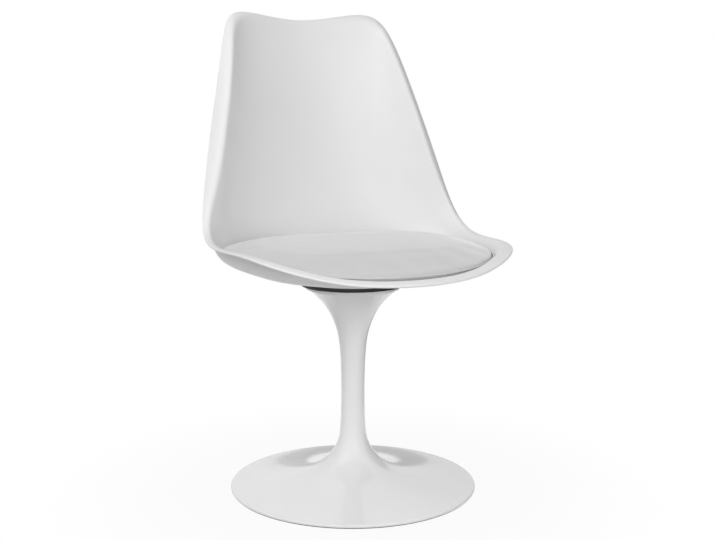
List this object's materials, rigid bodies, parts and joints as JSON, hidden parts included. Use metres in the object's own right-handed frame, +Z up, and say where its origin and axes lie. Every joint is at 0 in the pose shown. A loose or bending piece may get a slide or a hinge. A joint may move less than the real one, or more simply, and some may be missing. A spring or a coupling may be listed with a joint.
{
  "type": "swivel dining chair",
  "caption": "Swivel dining chair: moulded white shell with an upholstered seat pad, turning on a flared trumpet pedestal with a round foot.",
  "frame": {"origin": "on the swivel axis, at floor level", "axes": "+Z up; the sitter faces -Y; +X is the sitter's left"},
  "size_m": [0.4836, 0.5124, 0.813],
  "materials": {
    "white_enamel": "gloss white powder coat",
    "black_enamel": "satin black",
    "white_plastic": "satin moulded white",
    "white_leatherette": "fine grained, low sheen",
    "foot_rubber": "matt black",
    "fibre_board": "matt dark grey",
    "bright_steel": "turned",
    "hard_steel": "ground and polished",
    "spring_steel": "dark oiled",
    "zinc_steel": "zinc plated",
    "bronze": "plain bearing bronze",
    "brass": "knurled brass",
    "tape_dark": "hook and loop",
    "plywood": "plain plywood",
    "foam": "cut polyurethane foam"
  },
  "bodies": {
    "base": {"pedestal": "white_enamel", "foot_ring": "foot_rubber", "underside_cover": "fibre_board", "top_cap": "white_enamel", "bearing_housing": "bright_steel", "upper_bush": "bronze", "lower_bush": "bronze", "lower_race": "hard_steel", "housing_plug": "bright_steel", "tie_rod": "zinc_steel", "base_washer": "zinc_steel", "base_lock_washer": "spring_steel", "base_nut": "zinc_steel"},
    "cage": {"ball_cage": "bronze", "bearing_balls": "hard_steel"},
    "seat": {"upper_race": "hard_steel", "spindle": "bright_steel", "spindle_circlip": "spring_steel", "retaining_washer": "zinc_steel", "swivel_plate": "black_enamel", "plate_screws": "zinc_steel", "shell_inserts": "brass", "seat_shell": "white_plastic", "hook_tape": "tape_dark", "loop_tape": "tape_dark", "pad_board": "plywood", "pad_foam": "foam", "pad_cover": "white_leatherette"}
  },
  "joints": [
    {"name": "seat_swivel", "type": "hinge", "parent": "base", "child": "seat", "pos_m": [0, 0, 0.353], "axis": [0, 0, 1], "continuous": true},
    {"name": "cage_turn", "type": "hinge", "parent": "base", "child": "cage", "pos_m": [0, 0, 0.348], "axis": [0, 0, 1], "continuous": true}
  ],
  "couplings": [
    {"joint": "cage_turn", "follows": "seat_swivel", "ratio": 0.5}
  ]
}
